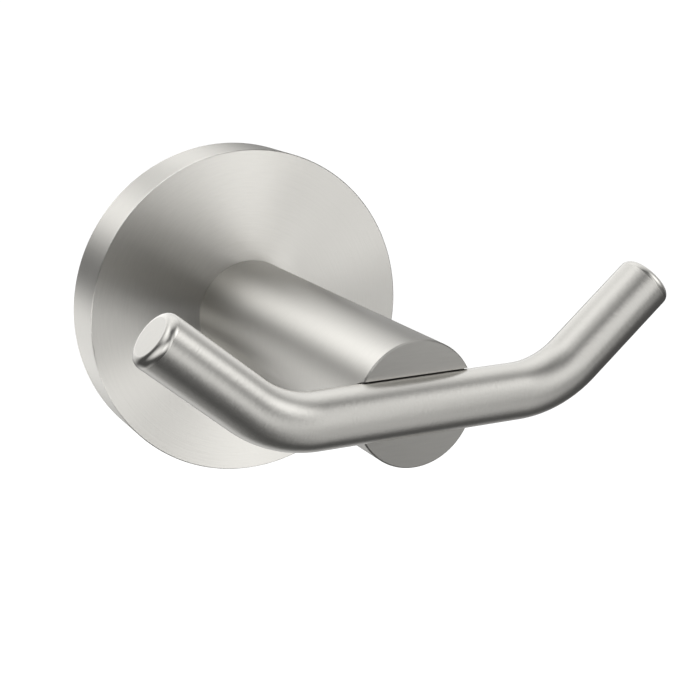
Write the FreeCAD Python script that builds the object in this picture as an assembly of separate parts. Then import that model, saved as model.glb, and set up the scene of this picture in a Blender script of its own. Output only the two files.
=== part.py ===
"""Double robe hook: a bent round bar held across the end of a wall post.

The hook stands out of a wall at y = 0 towards -Y, with +X to the right and +Z up.
A round flange covers the wall bracket. The post stands on the flange, and one long
socket bolt runs from inside the flange through the post into the back of the bar,
so that it draws the bar into the post's saddle and the post onto the flange.
A set screw under the flange grips the groove of the wall bracket.
"""

import FreeCAD
import Part

import math
import os

# Sizes are in millimetres and angles in degrees.

# Wall flange: a turned cup, open towards the wall.
FLANGE_DIAMETER = 55.0
FLANGE_DEPTH = 10.0
FLANGE_FACE_THICKNESS = 2.5
FLANGE_SKIRT_WALL = 2.5
FLANGE_FRONT_ROUND = 0.2
FLANGE_BACK_ROUND = 0.25
FLANGE_CORNER_ROUND = 1.0

# Post: a turned bar that stands on the flange's face.
POST_DIAMETER = 18.0
POST_LENGTH = 58.0
POST_EDGE_BREAK = 0.2

# Spigot on the back of the post: two flats keep the post from turning in the flange.
SPIGOT_DIAMETER = 8.0
SPIGOT_ACROSS_FLATS = 6.5
SPIGOT_RECESS = 0.7
SPIGOT_CLEARANCE = 0.05

# Hook bar: round bar with both arms bent upwards and cut square.
BAR_DIAMETER = 8.0
BAR_AHEAD_OF_POST = 0.4
BAR_CORNER_SPACING = 41.4
BAR_ARM_LENGTH = 21.7
BAR_ARM_RISE = 40.0
BAR_BEND_RADIUS = 15.0
BAR_TIP_ROUND = 1.2
SADDLE_CLEARANCE = 0.3

# Draw bolt: socket head screw through the post into the bar's tapped hole.
BOLT_DIAMETER = 4.0
BOLT_HEAD_DIAMETER = 7.0
BOLT_HEAD_HEIGHT = 4.0
BOLT_HEAD_ROUND = 0.4
BOLT_SOCKET_ACROSS_FLATS = 3.0
BOLT_SOCKET_DEPTH = 2.0
BOLT_ENGAGEMENT = 5.0
BOLT_POINT_CHAMFER = 0.4
BOLT_CLEARANCE = 0.25
TAPPED_HOLE_RUN_OUT = 0.6
THREAD_CLEARANCE = 0.03

# Washers under the bolt's head.
FLAT_WASHER_DIAMETER = 12.0
FLAT_WASHER_THICKNESS = 1.0
SPRING_WASHER_DIAMETER = 7.6
SPRING_WASHER_THICKNESS = 0.9
SPRING_WASHER_SPLIT = 0.5
SPRING_WASHER_SPLIT_ANGLE = 25.0
WASHER_CLEARANCE = 0.15

# Wall bracket: a grooved ring with a thin web that takes the wall screws.
BRACKET_CLEARANCE = 0.3
BRACKET_FRONT_GAP = 1.0
BRACKET_WEB_THICKNESS = 3.0
BRACKET_RIM_WIDTH = 4.2
BRACKET_CENTRE_HOLE = 14.0
BRACKET_EDGE_BREAK = 0.3
GROOVE_DEPTH = 1.5
GROOVE_WIDTH = 3.0
GROOVE_LIP = 1.0
WALL_SCREW_SPACING = 32.0
WALL_SCREW_HOLE = 5.0

# Set screw in the underside of the flange.
SET_SCREW_DIAMETER = 4.0
SET_SCREW_RECESS = 0.3
SET_SCREW_SOCKET_ACROSS_FLATS = 2.0
SET_SCREW_SOCKET_DEPTH = 1.6
SET_SCREW_SEAT_GAP = 0.05

# Places that follow from the sizes, as distances out from the wall or radii.
FLANGE_RADIUS = FLANGE_DIAMETER / 2
FLANGE_INNER_RADIUS = FLANGE_RADIUS - FLANGE_SKIRT_WALL
FLANGE_INNER_FACE = FLANGE_DEPTH - FLANGE_FACE_THICKNESS
POST_END = FLANGE_DEPTH + POST_LENGTH
SPIGOT_END = FLANGE_INNER_FACE + SPIGOT_RECESS
BAR_RADIUS = BAR_DIAMETER / 2
BAR_AXIS = POST_END + BAR_AHEAD_OF_POST
BAR_BACK = BAR_AXIS - BAR_RADIUS
BOLT_RADIUS = BOLT_DIAMETER / 2
BOLT_SEAT = FLANGE_INNER_FACE - FLAT_WASHER_THICKNESS - SPRING_WASHER_THICKNESS
BOLT_TIP = BAR_BACK + BOLT_ENGAGEMENT
BRACKET_RADIUS = FLANGE_INNER_RADIUS - BRACKET_CLEARANCE
BRACKET_FRONT = FLANGE_INNER_FACE - BRACKET_FRONT_GAP
GROOVE_CENTRE = BRACKET_FRONT - GROOVE_LIP - GROOVE_WIDTH / 2
GROOVE_FLOOR_RADIUS = BRACKET_RADIUS - GROOVE_DEPTH

ORIGIN = FreeCAD.Vector(0, 0, 0)
ALONG_BAR = FreeCAD.Vector(1, 0, 0)
OUT_OF_WALL = FreeCAD.Vector(0, -1, 0)
UP = FreeCAD.Vector(0, 0, 1)
FULL_TURN = 360.0


def at(across, distance, height):
    """A point given across the wall, out from the wall and up."""
    return FreeCAD.Vector(across, -distance, height)


def turned(profile):
    """A solid turned about the post's axis from corners of radius and distance from the wall."""
    corners = [at(radius, distance, 0) for radius, distance in profile]
    outline = Part.makePolygon(corners + corners[:1])
    return Part.Face(outline).revolve(ORIGIN, OUT_OF_WALL, FULL_TURN)


def round_bar(radius, start, end):
    """A plain cylinder on the post's axis between two distances from the wall."""
    return Part.makeCylinder(radius, end - start, at(0, start, 0), OUT_OF_WALL)


def hex_prism(across_flats, base, direction, depth):
    """A hexagonal prism for a key socket, standing on a base point."""
    corner_radius = across_flats / math.sqrt(3)
    corners = []
    for step in range(6):
        angle = math.radians(60 * step)
        corners.append(FreeCAD.Vector(corner_radius * math.cos(angle), corner_radius * math.sin(angle), 0))
    face = Part.Face(Part.makePolygon(corners + corners[:1]))
    prism = face.extrude(FreeCAD.Vector(0, 0, depth))
    prism.Placement = FreeCAD.Placement(base, FreeCAD.Rotation(UP, direction))
    return prism


def circle_edges(solid, radius, distance):
    """The solid's circular edges of one radius at one distance from the wall."""
    found = []
    for edge in solid.Edges:
        if not isinstance(edge.Curve, Part.Circle):
            continue
        same_radius = abs(edge.Curve.Radius - radius) < 1e-6
        same_place = abs(-edge.Curve.Center.y - distance) < 1e-6
        if same_radius and same_place:
            found.append(edge)
    return found


def double_d(radius, across_flats, start, end):
    """A cylinder with two level flats, on the post's axis."""
    cylinder = round_bar(radius, start, end)
    corner = at(-radius, end, -across_flats / 2)
    slab = Part.makeBox(2 * radius, end - start, across_flats, corner)
    return cylinder.common(slab)


def make_wall_flange():
    """The cup over the bracket, with a keyed hole for the post and a tapped hole below."""
    cup = turned([
        (0, FLANGE_DEPTH),
        (FLANGE_RADIUS, FLANGE_DEPTH),
        (FLANGE_RADIUS, 0),
        (FLANGE_INNER_RADIUS, 0),
        (FLANGE_INNER_RADIUS, FLANGE_INNER_FACE),
        (0, FLANGE_INNER_FACE),
    ])
    cup = cup.makeFillet(FLANGE_FRONT_ROUND, circle_edges(cup, FLANGE_RADIUS, FLANGE_DEPTH))
    cup = cup.makeFillet(FLANGE_BACK_ROUND, circle_edges(cup, FLANGE_RADIUS, 0))
    cup = cup.makeFillet(FLANGE_CORNER_ROUND, circle_edges(cup, FLANGE_INNER_RADIUS, FLANGE_INNER_FACE))
    keyed_hole = double_d(
        SPIGOT_DIAMETER / 2 + SPIGOT_CLEARANCE,
        SPIGOT_ACROSS_FLATS + 2 * SPIGOT_CLEARANCE,
        FLANGE_INNER_FACE,
        FLANGE_DEPTH,
    )
    tapped_hole = Part.makeCylinder(
        SET_SCREW_DIAMETER / 2 + THREAD_CLEARANCE,
        FLANGE_RADIUS,
        at(0, GROOVE_CENTRE, 0),
        -UP,
    )
    return cup.cut(keyed_hole).cut(tapped_hole)


def make_post():
    """The post, with a keyed spigot behind, a bore for the bolt and a saddle for the bar."""
    body = round_bar(POST_DIAMETER / 2, FLANGE_DEPTH, POST_END)
    for distance in (FLANGE_DEPTH, POST_END):
        body = body.makeChamfer(POST_EDGE_BREAK, circle_edges(body, POST_DIAMETER / 2, distance))
    spigot = double_d(SPIGOT_DIAMETER / 2, SPIGOT_ACROSS_FLATS, SPIGOT_END, FLANGE_DEPTH)
    bore = round_bar(BOLT_RADIUS + BOLT_CLEARANCE, SPIGOT_END, POST_END)
    saddle_radius = BAR_RADIUS + SADDLE_CLEARANCE
    saddle = Part.makeCylinder(
        saddle_radius,
        2 * POST_DIAMETER,
        at(-POST_DIAMETER, BAR_BACK + saddle_radius, 0),
        ALONG_BAR,
    )
    return body.fuse(spigot).removeSplitter().cut(bore).cut(saddle)


def bar_path():
    """The bar's centre line from the left tip to the right tip, level between the two bends."""
    rise = math.radians(BAR_ARM_RISE)
    corner = BAR_CORNER_SPACING / 2
    setback = BAR_BEND_RADIUS * math.tan(rise / 2)
    bend_middle = BAR_BEND_RADIUS * (1 / math.cos(rise / 2) - 1)

    def right_side(along_arm):
        return corner + along_arm * math.cos(rise), along_arm * math.sin(rise)

    tip = right_side(BAR_ARM_LENGTH)
    arm_end = right_side(setback)
    middle = (corner - bend_middle * math.sin(rise / 2), bend_middle * math.cos(rise / 2))
    flat_end = (corner - setback, 0)

    def place(point, side):
        return at(side * point[0], BAR_AXIS, point[1])

    left_tip, left_arm, left_middle, left_flat = (place(p, -1) for p in (tip, arm_end, middle, flat_end))
    right_tip, right_arm, right_middle, right_flat = (place(p, 1) for p in (tip, arm_end, middle, flat_end))
    curves = [
        Part.LineSegment(left_tip, left_arm),
        Part.Arc(left_arm, left_middle, left_flat),
        Part.LineSegment(left_flat, right_flat),
        Part.Arc(right_flat, right_middle, right_arm),
        Part.LineSegment(right_arm, right_tip),
    ]
    return Part.Wire([curve.toShape() for curve in curves]), left_tip, right_tip


def make_hook_bar():
    """The bent bar, with rounded tips and a tapped hole in its back for the bolt."""
    path, left_tip, right_tip = bar_path()
    start_direction = path.OrderedEdges[0].tangentAt(path.OrderedEdges[0].FirstParameter)
    section = Part.Wire(Part.makeCircle(BAR_RADIUS, left_tip, start_direction))
    bar = path.makePipeShell([section], True, False)

    def at_a_tip(edge):
        if not isinstance(edge.Curve, Part.Circle):
            return False
        return min(edge.Curve.Center.distanceToPoint(tip) for tip in (left_tip, right_tip)) < 1e-6

    bar = bar.makeFillet(BAR_TIP_ROUND, [edge for edge in bar.Edges if at_a_tip(edge)])
    tapped_hole = round_bar(
        BOLT_RADIUS + THREAD_CLEARANCE,
        BAR_BACK - BAR_RADIUS,
        BOLT_TIP + TAPPED_HOLE_RUN_OUT,
    )
    return bar.cut(tapped_hole)


def make_draw_bolt():
    """The socket head bolt, its head towards the wall."""
    head_back = BOLT_SEAT - BOLT_HEAD_HEIGHT
    head = round_bar(BOLT_HEAD_DIAMETER / 2, head_back, BOLT_SEAT)
    head = head.makeFillet(BOLT_HEAD_ROUND, circle_edges(head, BOLT_HEAD_DIAMETER / 2, head_back))
    shank = round_bar(BOLT_RADIUS, BOLT_SEAT, BOLT_TIP)
    shank = shank.makeChamfer(BOLT_POINT_CHAMFER, circle_edges(shank, BOLT_RADIUS, BOLT_TIP))
    socket = hex_prism(BOLT_SOCKET_ACROSS_FLATS, at(0, head_back, 0), OUT_OF_WALL, BOLT_SOCKET_DEPTH)
    return head.fuse(shank).removeSplitter().cut(socket)


def make_flat_washer():
    """The wide washer that bears on the flange round the spigot."""
    start = FLANGE_INNER_FACE - FLAT_WASHER_THICKNESS
    disc = round_bar(FLAT_WASHER_DIAMETER / 2, start, FLANGE_INNER_FACE)
    hole = round_bar(BOLT_RADIUS + WASHER_CLEARANCE, start, FLANGE_INNER_FACE)
    return disc.cut(hole)


def make_spring_washer():
    """The split lock washer, drawn flat under the bolt's head, its slanting split upwards."""
    end = BOLT_SEAT + SPRING_WASHER_THICKNESS
    outer_radius = SPRING_WASHER_DIAMETER / 2
    disc = round_bar(outer_radius, BOLT_SEAT, end)
    hole = round_bar(BOLT_RADIUS + WASHER_CLEARANCE, BOLT_SEAT, end)
    middle = (BOLT_SEAT + end) / 2
    split = Part.makeBox(
        SPRING_WASHER_SPLIT,
        4 * SPRING_WASHER_THICKNESS,
        2 * outer_radius,
        at(-SPRING_WASHER_SPLIT / 2, middle + 2 * SPRING_WASHER_THICKNESS, 0),
    )
    split.rotate(at(0, middle, 0), UP, SPRING_WASHER_SPLIT_ANGLE)
    return disc.cut(hole).cut(split)


def make_wall_bracket():
    """The ring that is screwed to the wall, grooved round its rim for the set screw."""
    rim_inner_radius = BRACKET_RADIUS - BRACKET_RIM_WIDTH
    bracket = turned([
        (BRACKET_CENTRE_HOLE / 2, 0),
        (BRACKET_RADIUS - BRACKET_EDGE_BREAK, 0),
        (BRACKET_RADIUS, BRACKET_EDGE_BREAK),
        (BRACKET_RADIUS, GROOVE_CENTRE - GROOVE_WIDTH / 2),
        (GROOVE_FLOOR_RADIUS, GROOVE_CENTRE),
        (BRACKET_RADIUS, GROOVE_CENTRE + GROOVE_WIDTH / 2),
        (BRACKET_RADIUS, BRACKET_FRONT - BRACKET_EDGE_BREAK),
        (BRACKET_RADIUS - BRACKET_EDGE_BREAK, BRACKET_FRONT),
        (rim_inner_radius, BRACKET_FRONT),
        (rim_inner_radius, BRACKET_WEB_THICKNESS),
        (BRACKET_CENTRE_HOLE / 2, BRACKET_WEB_THICKNESS),
    ])
    for side in (-1, 1):
        screw_hole = Part.makeCylinder(
            WALL_SCREW_HOLE / 2,
            BRACKET_WEB_THICKNESS,
            at(0, 0, side * WALL_SCREW_SPACING / 2),
            OUT_OF_WALL,
        )
        bracket = bracket.cut(screw_hole)
    return bracket


def make_set_screw():
    """The headless screw under the flange, its cone in the bracket's groove and its socket downwards."""
    radius = SET_SCREW_DIAMETER / 2
    bottom = -(FLANGE_RADIUS - SET_SCREW_RECESS)
    point = -(GROOVE_FLOOR_RADIUS + SET_SCREW_SEAT_GAP)
    cone_height = radius * GROOVE_DEPTH / (GROOVE_WIDTH / 2)
    cone_base = point - cone_height
    centre = at(0, GROOVE_CENTRE, bottom)
    body = Part.makeCylinder(radius, cone_base - bottom, centre, UP)
    cone = Part.makeCone(radius, 0, cone_height, at(0, GROOVE_CENTRE, cone_base), UP)
    socket = hex_prism(SET_SCREW_SOCKET_ACROSS_FLATS, centre, UP, SET_SCREW_SOCKET_DEPTH)
    return body.fuse(cone).removeSplitter().cut(socket)


PIECES = {
    "wall_flange": make_wall_flange,
    "post": make_post,
    "hook_bar": make_hook_bar,
    "draw_bolt": make_draw_bolt,
    "flat_washer": make_flat_washer,
    "spring_washer": make_spring_washer,
    "wall_bracket": make_wall_bracket,
    "set_screw": make_set_screw,
}


def main():
    os.makedirs("parts", exist_ok=True)
    for name, make in PIECES.items():
        shape = make()
        solids = shape.Solids
        if len(solids) != 1 or not shape.isValid():
            raise ValueError(f"{name} is not one valid solid")
        solids[0].exportStep(f"parts/{name}.step")
        print(f"{name}: {solids[0].Volume:.1f} mm3")


main()
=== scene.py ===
"""Double robe hook in satin metal: its pieces, their finishes, the stage and the camera."""

import math
from typing import NamedTuple

import bmesh
import bpy
from bpy.props import FloatProperty, FloatVectorProperty, IntProperty, PointerProperty
from mathutils import Matrix, Vector


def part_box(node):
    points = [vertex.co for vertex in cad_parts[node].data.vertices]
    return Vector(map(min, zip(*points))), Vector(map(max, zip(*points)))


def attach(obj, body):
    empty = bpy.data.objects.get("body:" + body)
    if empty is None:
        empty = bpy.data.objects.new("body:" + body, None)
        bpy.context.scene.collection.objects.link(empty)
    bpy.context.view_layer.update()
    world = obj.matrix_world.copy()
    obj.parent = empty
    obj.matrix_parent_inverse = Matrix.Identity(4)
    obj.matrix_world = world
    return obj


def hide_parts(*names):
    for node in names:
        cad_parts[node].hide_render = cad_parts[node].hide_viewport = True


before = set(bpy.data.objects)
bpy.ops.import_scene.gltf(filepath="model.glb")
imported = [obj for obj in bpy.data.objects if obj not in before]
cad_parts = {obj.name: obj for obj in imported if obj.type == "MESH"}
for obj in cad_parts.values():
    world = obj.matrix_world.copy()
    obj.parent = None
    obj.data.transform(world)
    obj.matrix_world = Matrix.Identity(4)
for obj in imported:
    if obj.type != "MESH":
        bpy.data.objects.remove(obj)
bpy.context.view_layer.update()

bl_info = {
    "name": "Double robe hook",
    "version": (1, 0, 0),
    "blender": (4, 5, 0),
    "location": "3D View > Sidebar > Robe Hook",
    "description": "Builds a satin metal double robe hook with its fixing, stage and camera",
    "category": "Add Mesh",
}

BODY = "root"
SATIN_SLOT = "satin_steel"
PLATED_SLOT = "plated_steel"
MM = 0.001

# Pieces are turned about the post's axis, which is the Y axis, and stand out of the wall towards -Y.
TURN_OUT_OF_WALL = (math.radians(90.0), 0.0, 0.0)
IMAGE_SIDE_PIXELS = 700
SENSOR_WIDTH_MM = 36.0
CLIP_START = 0.01
CLIP_END = 100.0
FLOOR_ROUGHNESS = 0.9
HOOK_MIDDLE = Vector((0, -0.036, 0))

# Faces round a form, and along it where there are two numbers.
HOLE_STEPS = 64
SPIGOT_STEPS = 96
SADDLE_STEPS = 192
BAR_STEPS = 128
BEND_STEPS = 32
TIP_STEPS = 12
BOLT_HEAD_STEPS = 96
WASHER_STEPS = 128
BOLT_SHANK_STEPS = (40, 300)
SET_SCREW_STEPS = (48, 80)

# Points closer than this are one point.
MERGE_DISTANCE = 1e-8
# The tips' edges are sharper than this and the bends' are not.
TIP_EDGE_DEGREES = 60
# A face whose normal has at least this share along a direction faces that way.
FACES_FRONT = 0.99
FACES_ALONG_ARM = 0.9999

# A thread's crest and root as shares of half a turn, and the turns over which it deepens.
THREAD_CREST = 0.1
THREAD_ROOT = 0.85
RUN_OUT_TURNS = 1.5
SET_SCREW_PLAIN_LENGTH = 0.02 * MM
SET_SCREW_POINT_RADIUS = 0.04 * MM
SHANK_OVERLAP = 0.5 * MM

# Most of a noise pattern lies between these values.
NOISE_LOW = 0.3
NOISE_HIGH = 0.7
# Darkest and lightest shade of a finish, and how far its roughness goes up and down.
SATIN_SHADES = (0.982, 1.018)
SATIN_ROUGHNESS_SPREAD = 0.01
PLATED_SHADES = (0.9, 1.06)
PLATED_ROUGHNESS_SPREAD = 0.06
BLOTCHES_PER_METRE = 900.0


class SoftBox(NamedTuple):
    """A lamp: the metal it lights, degrees round from the front and up, half sizes in degrees, brightness."""

    name: str
    lights: str
    azimuth: float
    elevation: float
    half_width: float
    half_height: float
    brightness: float


# The metal that each group of soft boxes lights; a group that isn't named here lights everything.
FLANGE_PIECES = (
    "turned_flange", "turned_bracket", "draw_bolt_m4", "set_screw_m4", "flat_washer_m4", "lock_washer_m4"
)
LIT_PIECES = {
    "flange": FLANGE_PIECES,
    "post": ("turned_post",),
    "bar": ("bent_bar",),
    "turned": (*FLANGE_PIECES, "turned_post"),
}
SOFT_BOXES = (
    SoftBox("low backdrop", "turned", -172, -18, 45, 20, 2.05),
    SoftBox("floor behind", "all", 180, -48, 50, 28, 0.7),
    SoftBox("high backdrop", "turned", -150, 50, 60, 60, 0.4),
    SoftBox("right backdrop", "all", 150, 10, 50, 15, 0.9),
    SoftBox("front fill", "all", 30, 20, 60, 60, 0.2),
    SoftBox("low front", "all", 38, -45, 15, 33, 0.85),
    SoftBox("bar backdrop", "bar", 170, 53, 55, 55, 1.22),
    SoftBox("bar low backdrop", "bar", -165, 5, 32, 35, 0.95),
    SoftBox("bar right key", "bar", 60, 30, 30, 30, 1.75),
    SoftBox("bar left key", "bar", -55, 12, 55, 35, 1.15),
    SoftBox("bar high left", "bar", -82, 60, 42, 25, 1.25),
    SoftBox("bar front strip", "bar", 20, 0, 15, 58, 1.1),
    SoftBox("bar left patch", "bar", -10, 10, 30, 30, 0.9),
    SoftBox("bar right side", "bar", 110, 20, 40, 40, 0.5),
    SoftBox("bar low left", "bar", -110, -65, 40, 20, 0.35),
    SoftBox("flange front strip", "flange", 25, -8, 20, 43, 2.1),
    SoftBox("flange top light", "flange", -120, 80, 60, 30, 2.4),
    SoftBox("flange low left", "flange", -55, -40, 60, 18, 2.0),
    SoftBox("flange left key", "flange", -75, -8, 50, 18, 2.2),
    SoftBox("flange back left", "flange", -120, 38, 45, 22, 2.3),
    SoftBox("edge high left", "turned", -55, 45, 25, 20, 1.2),
    SoftBox("post back left", "post", -130, 50, 30, 30, 3.1),
    SoftBox("post back", "post", 180, 40, 30, 30, 1.1),
    SoftBox("post left", "post", -120, 0, 45, 20, 1.0),
    SoftBox("post front", "post", 40, 10, 30, 30, 1.4),
    SoftBox("post edge above", "post", 30, 65, 45, 22, 0.7),
)


def node_size(node):
    """Width, depth and height of a CAD node."""
    low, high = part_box(node)
    return high - low


def node_span(node):
    """Distances from the wall at which a CAD node starts and ends."""
    low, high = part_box(node)
    return -high.y, -low.y


def node_middle(node):
    """Distance of a CAD node's middle from the wall."""
    start, end = node_span(node)
    return (start + end) / 2


def direction(azimuth, elevation):
    """The direction that lies round from the front by an azimuth and up by an elevation."""
    return Vector((
        math.sin(azimuth) * math.cos(elevation),
        -math.cos(azimuth) * math.cos(elevation),
        math.sin(elevation),
    ))


def length(name, description, default):
    """A length property in metres."""
    return FloatProperty(
        name=name, description=description, default=default,
        min=0.0, unit="LENGTH", subtype="DISTANCE", precision=5,
    )


def angle(name, description, degrees):
    """An angle property with its default given in degrees."""
    return FloatProperty(
        name=name, description=description, default=math.radians(degrees), unit="ROTATION", subtype="ANGLE"
    )


def share(name, description, default):
    """A property between 0 and 1."""
    return FloatProperty(
        name=name, description=description, default=default, min=0.0, max=1.0, subtype="FACTOR"
    )


def colour(name, description, default):
    """A colour property."""
    return FloatVectorProperty(
        name=name, description=description, default=default, size=3, min=0.0, max=1.0, subtype="COLOR"
    )


class RobeHookSizes(bpy.types.PropertyGroup):
    """Sizes of the pieces, taken from the CAD frame where its boxes give them."""

    flange_diameter: length("Flange diameter", "Width of the wall flange", node_size("wall_flange").x)
    flange_depth: length("Flange depth", "Depth of the wall flange from the wall", node_size("wall_flange").y)
    flange_face: length("Flange face", "Thickness of the flange's face", 2.5 * MM)
    flange_wall: length("Flange skirt", "Thickness of the flange's skirt", 2.5 * MM)
    flange_front_round: length("Flange front round", "Rounding of the flange's front edge", 0.2 * MM)
    flange_back_round: length("Flange back round", "Rounding of the flange's back edge", 0.25 * MM)
    flange_corner_round: length("Flange corner round", "Rounding inside the flange's corner", 1.0 * MM)
    post_diameter: length("Post diameter", "Thickness of the post", node_size("post").x)
    post_end: length("Post end", "Distance of the post's end face from the wall", node_span("post")[1])
    post_edge_break: length("Post edge break", "Chamfer on the post's end edges", 0.2 * MM)
    spigot_diameter: length("Spigot diameter", "Thickness of the keyed spigot behind the post", 8.0 * MM)
    spigot_flats: length("Spigot flats", "Distance between the spigot's two flats", 6.5 * MM)
    spigot_clearance: length("Spigot clearance", "Room round the spigot in the flange", 0.05 * MM)
    bolt_hole_diameter: length("Bolt hole", "Bore through the post for the draw bolt", 4.5 * MM)
    bar_diameter: length("Bar diameter", "Thickness of the hook bar", node_size("hook_bar").y)
    bar_corner_spacing: length("Bar corner spacing", "Distance between the two bends' corners", 41.4 * MM)
    bar_arm_length: length("Bar arm length", "Length of an arm from its bend's corner to its tip", 21.7 * MM)
    bar_arm_rise: angle("Bar arm rise", "Angle by which an arm turns upwards", 40.0)
    bar_bend_radius: length("Bar bend radius", "Radius of the bends at the bar's centre line", 15.0 * MM)
    bar_tip_round: length("Bar tip round", "Rounding of the bar's tips", 1.2 * MM)
    saddle_clearance: length("Saddle clearance", "Room beside the bar in the post's saddle", 0.2 * MM)
    tapped_hole_diameter: length("Tapped hole", "Hole in the back of the bar for the draw bolt", 4.06 * MM)
    tapped_hole_end: length("Tapped hole end", "Distance of the hole's floor from the wall", 70.0 * MM)
    bolt_diameter: length("Bolt diameter", "Thickness of the draw bolt's shank", 4.0 * MM)
    bolt_head_height: length("Bolt head height", "Height of the draw bolt's head", 4.0 * MM)
    bolt_head_round: length("Bolt head round", "Rounding of the draw bolt's head", 0.4 * MM)
    bolt_point_break: length("Bolt point break", "Chamfer on the draw bolt's point", 0.4 * MM)
    bolt_socket: length("Bolt socket", "Width across the flats of the bolt's socket", 3.0 * MM)
    bolt_socket_depth: length("Bolt socket depth", "Depth of the bolt's socket", 2.0 * MM)
    bolt_thread_length: length("Bolt thread length", "Length of the bolt's thread", 20.0 * MM)
    thread_pitch: length("Thread pitch", "Distance between the turns of both threads", 0.7 * MM)
    thread_depth: length("Thread depth", "Depth of both threads", 0.38 * MM)
    washer_hole_diameter: length("Washer hole", "Hole in both washers", 4.3 * MM)
    washer_edge_break: length("Washer edge break", "Chamfer on the washers' edges", 0.08 * MM)
    washer_split: length("Washer split", "Gap in the lock washer", 0.5 * MM)
    washer_split_slant: angle("Washer slant", "Slant of the lock washer's gap", 25.0)
    bracket_web: length("Bracket web", "Thickness of the wall bracket's web", 3.0 * MM)
    bracket_rim: length("Bracket rim", "Width of the wall bracket's rim", 4.2 * MM)
    bracket_hole_diameter: length("Bracket centre hole", "Hole in the middle of the wall bracket", 14.0 * MM)
    bracket_edge_break: length("Bracket edge break", "Chamfer on the bracket's edges", 0.3 * MM)
    groove_depth: length("Groove depth", "Depth of the groove round the bracket", 1.5 * MM)
    groove_width: length("Groove width", "Width of the groove round the bracket", 3.0 * MM)
    wall_screw_spacing: length("Wall screw spacing", "Distance between the wall screw holes", 32.0 * MM)
    wall_screw_hole: length("Wall screw hole", "Diameter of the wall screw holes", 5.0 * MM)
    set_screw_hole: length("Set screw hole", "Diameter of the tapped hole under the flange", 4.06 * MM)
    set_screw_socket: length("Set screw socket", "Width across the flats of the set screw's socket", 2.0 * MM)
    set_screw_socket_depth: length("Set screw socket depth", "Depth of the set screw's socket", 1.6 * MM)
    set_screw_edge_break: length("Set screw edge break", "Chamfer on the set screw's outer end", 0.3 * MM)
    set_screw_point_length: length("Set screw point", "Length of the set screw's cone point", 2.0 * MM)
    steps_round: IntProperty(
        name="Steps round", description="Faces round a large turned piece", default=256, min=24, max=512
    )


class RobeHookFinish(bpy.types.PropertyGroup):
    """Colours and finishes of the metal."""

    satin_colour: colour("Satin metal", "Colour of the satin metal", (0.632, 0.62, 0.587))
    plated_colour: colour("Plated steel", "Colour of the plated hardware", (0.60, 0.61, 0.63))
    flange_roughness: share("Flange roughness", "Roughness of the turned flange", 0.35)
    post_roughness: share("Post roughness", "Roughness of the brushed post", 0.40)
    bar_roughness: share("Bar roughness", "Roughness of the brushed bar", 0.33)
    end_roughness: share("End roughness", "Roughness of the cut end faces", 0.30)
    tip_roughness: share("Tip roughness", "Roughness of the polished rounds at the bar's tips", 0.20)
    plated_roughness: share("Plated roughness", "Roughness of the plated hardware", 0.38)
    flange_stretch: share("Flange stretch", "How far the turning marks stretch the flange's gloss", 0.95)
    post_stretch: share("Post stretch", "How far the brushing stretches the post's gloss", 0.60)
    bar_stretch: share("Bar stretch", "How far the brushing stretches the bar's gloss", 0.60)
    brush_pitch: length("Brush pitch", "Typical width of a brush line", 0.3 * MM)
    brush_length: length("Brush length", "Length over which a turning mark changes", 3.0 * MM)
    bar_brush_length: length("Bar brush length", "Length over which the bar's brush lines change", 0.6 * MM)
    bar_brush_depth: length("Bar brush depth", "Depth of a brush line on the bar", 0.02 * MM)
    turning_depth: length("Turning depth", "Depth of a turning mark on flange and post", 0.015 * MM)
    fine_depth: length("Fine depth", "Depth of the marks on cut ends, tips and plated steel", 0.004 * MM)


class RobeHookStage(bpy.types.PropertyGroup):
    """Camera and floor."""

    camera_azimuth: angle("Camera azimuth", "Side from which the camera looks", -21.67)
    camera_elevation: angle("Camera elevation", "Height from which the camera looks", 13.25)
    camera_distance: length("Camera distance", "Distance of the camera from the flange's centre", 260.76 * MM)
    camera_turn: angle("Camera turn", "Turn of the camera to the right of the flange's centre", 4.66)
    camera_tilt: angle("Camera tilt", "Tilt of the camera above the flange's centre", -1.98)
    camera_lens_pixels: FloatProperty(
        name="Camera lens", description="Focal length in pixels of the image", default=1491.6, min=1.0
    )
    lamp_distance: length("Lamp distance", "Distance of the soft boxes from the hook", 1.2)
    fill_brightness: share("Fill brightness", "Brightness of the dim light from all sides", 0.09)
    floor_drop: length("Floor drop", "Distance of the floor below the hook's middle", 0.35)
    floor_half_side: length("Floor half side", "Half the side of the floor", 14.0)
    floor_colour: colour("Floor colour", "Colour of the floor", (0.9, 0.9, 0.9))


# Mesh building

def at(across, distance, height):
    """A point given across the wall, out from the wall and up."""
    return Vector((across, -distance, height))


def arc(centre, radius, start_degrees, end_degrees, steps=8):
    """Profile points on an arc about a centre, as pairs of radius and distance from the wall."""
    points = []
    for step in range(steps + 1):
        turn = math.radians(start_degrees + (end_degrees - start_degrees) * step / steps)
        points.append((centre[0] + radius * math.cos(turn), centre[1] + radius * math.sin(turn)))
    return points


def link_mesh(name, mesh_maker):
    """An object at the origin with the bmesh that mesh_maker fills in, its faces turned outwards."""
    mesh = bpy.data.meshes.new(name)
    grid = bmesh.new()
    mesh_maker(grid)
    bmesh.ops.remove_doubles(grid, verts=grid.verts, dist=MERGE_DISTANCE)
    bmesh.ops.recalc_face_normals(grid, faces=grid.faces)
    for face in grid.faces:
        face.smooth = True
    grid.to_mesh(mesh)
    grid.free()
    piece = bpy.data.objects.new(name, mesh)
    bpy.context.scene.collection.objects.link(piece)
    return piece


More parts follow.
